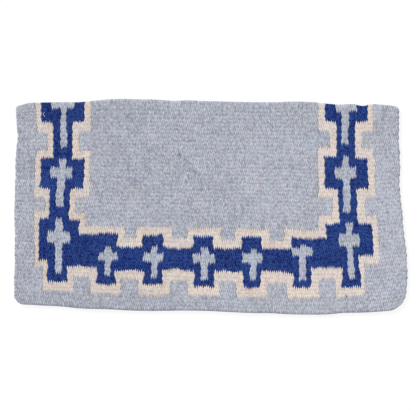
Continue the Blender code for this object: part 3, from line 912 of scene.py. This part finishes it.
def wool(name, colour, seed, tone_spread, hue_spread, stroke_rate, lean=0.0, shine=1.0):
    """Single-ply wool weft over warp cords: beads with their own tone and fibres, and soft painted shade in
    the valleys.

    stroke_rate is how fast the strokes along the yarn change, lean is how much lighter each column is
    than the one to its left (a painted light gradient in the grey blue wool, the wool's own tone in the
    cream), and shine is a share of the usual sheen.
    """
    finish = {
        "Roughness": WOOL_ROUGHNESS,
        "Specular IOR Level": WOOL_SPECULAR * shine,
        "Sheen Weight": WOOL_SHEEN * shine,
        "Sheen Roughness": SHEEN_ROUGHNESS,
    }
    material, shader = new_material(name, finish)
    wire = Wire(material.node_tree)
    cloth = wire.node("Attribute", {"attribute_name": "cloth"}, output="Vector")
    column = wire.node("SeparateXYZ", sockets={0: cloth})
    rib = column.output("Y")
    side = column.output("Z")
    noise = noise_reader(side, seed)
    shade, height = tone_and_height(noise, column, rib, side, stroke_rate, lean)
    tinted = hued(noise, column, rib, shade, colour, tone_spread, hue_spread)
    flecked(tinted).feed(shader.inputs["Base Color"])
    bump = {"Strength": BUMP_STRENGTH, "Distance": BUMP_DEPTH, "Height": height}
    wire.node("Bump", sockets=bump).feed(shader.inputs["Normal"])
    return material


WOOLS = {
    # Its lean is a painted light gradient, lighter towards the lower right
    "grey_blue_wool": wool(
        "Grey blue wool", GREY_BLUE, seed=0.0, tone_spread=27, hue_spread=4.5, stroke_rate=1.25, lean=0.0006
    ),
    "blue_wool": wool(
        "Blue wool", BLUE, seed=11.0, tone_spread=36, hue_spread=7, stroke_rate=2.2, shine=0.25
    ),
    "cream_wool": wool(
        "Cream wool", CREAM, seed=23.0, tone_spread=18, hue_spread=9, stroke_rate=1.25, lean=0.0012
    ),
    "grey_wool": wool(
        "Grey cross wool", CROSS_GREY, seed=37.0, tone_spread=27, hue_spread=4.5, stroke_rate=1.25
    ),
}
SLOTS = {
    "margin": "grey_blue_wool",
    "outer_outline": "cream_wool",
    "blue_band": "blue_wool",
    "inner_outline": "cream_wool",
    "field": "grey_blue_wool",
}
SPINE_NODES = {
    "margin": ["spine_left_margin", "spine_right_margin"],
    "outer_outline": ["spine_left_outer_outline", "spine_right_outer_outline"],
    "inner_outline": ["spine_left_inner_outline", "spine_right_inner_outline"],
    "blue_band": [f"spine_{end}_blue_{edge}" for end in ("left", "right") for edge in ("outer", "inner")],
    "field": ["spine_field"],
    "cross_left_fold": ["spine_left_cross_arms"],
    "cross_right_fold": ["spine_right_cross_arms"],
}


def make_leaf(leaf, side, layers):
    """One half of the blanket, as one piece for each colour area."""
    made = {}
    for number, area in enumerate(AREAS):
        piece = woven_piece(f"{leaf}_{area}_weave", layers, cell_area == number, side)
        slot = SLOTS.get(area, "grey_wool")
        piece.data.materials.append(WOOLS[slot])
        if side > 0:
            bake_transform(piece)
        else:
            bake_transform(piece)
        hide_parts(f"{leaf}_{area}", *SPINE_NODES.get(area, []))
        made[area] = piece
    return made


def flat_area(area):
    """The area of the flat cloth that belongs to one colour area."""
    side_lengths = np.diff(point_s, axis=0)
    cell_lengths = (side_lengths[:, 1:] + side_lengths[:, :-1]) / 2
    return float(cell_lengths[cell_area == AREAS.index(area)].sum() * COLUMN)


def declare_sheets(pieces):
    """Finds the pieces that are not strips of their own and the flat area of each strip, but uses neither.
    Outlines and crosses are woven in with the band.
    """
    inlays = [piece for area, piece in pieces.items() if area not in SHEETS]
    for area, flat in SHEETS.items():
        size = flat_area(area)


def stray_curl(outer):
    """A short curl of pale lint caught on the band near the fold."""
    curve = bpy.data.curves.new("stray_lint_curl", "CURVE")
    curve.dimensions = "3D"
    curve.bevel_depth = CURL_RADIUS
    curve.bevel_resolution = 2
    curve.use_fill_caps = True
    spline = curve.splines.new("NURBS")
    spline.points.add(len(STRAY_CURL) - 1)
    for point, (column_pixel, row_pixel) in zip(spline.points, STRAY_CURL):
        x, y = x_of(column_pixel), y_of(row_pixel)
        near = np.hypot(outer[..., 0] - x, outer[..., 1] - y) < CURL_REST
        point.co = (x, y, float(outer[..., 2][near].max()) + CURL_RISE, 1.0)
    spline.order_u = 3
    spline.use_endpoint_u = True
    piece = added("stray_lint_curl", curve)
    lint, _ = new_material("Pale lint", {"Base Color": linear(LINT_WHITE), "Roughness": LINT_ROUGHNESS})
    curve.materials.append(lint)
    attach(piece, "front_leaf")


front_layers = leaf_layers(1, 0.0)
front = make_leaf("front", 1, front_layers)
back = make_leaf("back", -1, leaf_layers(-1, BACK_LEAF_INSET))
declare_sheets(back)
declare_sheets(front)
stray_curl(front_layers[0])


def background_rays(tree):
    """1 for rays that see the background from the camera, straight, in a gloss or through glass."""
    camera = Wire(tree).node("LightPath", output="Is Camera Ray")
    return (camera + camera.output("Is Glossy Ray") + camera.output("Is Transmission Ray")).clamped()


def make_floor():
    """A white sheet that takes the blanket's shadow and otherwise looks plain white."""
    mesh = bpy.data.meshes.new("Floor")
    half = FLOOR_SIZE / 2
    corners = [(half * x, half * y, -FLOOR_DROP) for x, y in ((-1, -1), (1, -1), (1, 1), (-1, 1))]
    mesh.from_pydata(corners, [], [(0, 1, 2, 3)])
    floor = added("Floor", mesh)
    finish = {"Base Color": FLOOR_COLOUR, "Roughness": FLOOR_ROUGHNESS, "Specular IOR Level": 0.0}
    material, shader = new_material("Floor white", finish)
    tree = material.node_tree
    seen = background_rays(tree)
    paper = seen.node("Emission", sockets={"Color": WHITE, "Strength": FLOOR_GLOW})
    lit = Wire(tree, shader.outputs["BSDF"])
    mixed = seen.node("MixShader", sockets={0: seen * FLOOR_WHITENESS, 1: lit, 2: paper})
    mixed.feed(tree.nodes["Material Output"].inputs["Surface"])
    mesh.materials.append(material)


def make_light():
    """A soft sun from the upper left and an even grey sky, which the camera sees as white."""
    world = bpy.context.scene.world or bpy.data.worlds.new("Studio")
    bpy.context.scene.world = world
    world.use_nodes = True
    tree = world.node_tree
    background = tree.nodes["Background"]
    background.inputs["Color"].default_value = WHITE
    background.inputs["Strength"].default_value = WORLD_STRENGTH
    seen = background_rays(tree)
    paper = seen.node("Background", sockets={"Color": WHITE, "Strength": 1.0})
    sky = Wire(tree, background.outputs["Background"])
    mixed = seen.node("MixShader", sockets={0: seen, 1: sky, 2: paper})
    mixed.feed(tree.nodes["World Output"].inputs["Surface"])
    sun = bpy.data.lights.new("Key", "SUN")
    sun.energy = KEY_ENERGY
    sun.angle = KEY_ANGLE
    added("Key", sun).rotation_euler = Vector(KEY_DIRECTION).to_track_quat("-Z", "Y").to_euler()


def make_camera():
    """A camera straight above, so far up that the photograph's frame fills its view."""
    camera = bpy.data.cameras.new("Camera")
    camera.lens = LENS
    camera.sensor_width = SENSOR
    camera.clip_end = CAMERA_REACH
    middle = FRAME_PIXELS / 2
    height = middle * PIXEL / (SENSOR / 2 / LENS)
    eye = added("Camera", camera)
    eye.location = (x_of(middle), y_of(middle), height + 2 * CLOTH_THICKNESS + LEAF_GAP)
    bpy.context.scene.camera = eye


make_floor()
make_light()
make_camera()
bpy.context.scene.view_settings.view_transform = "Standard"
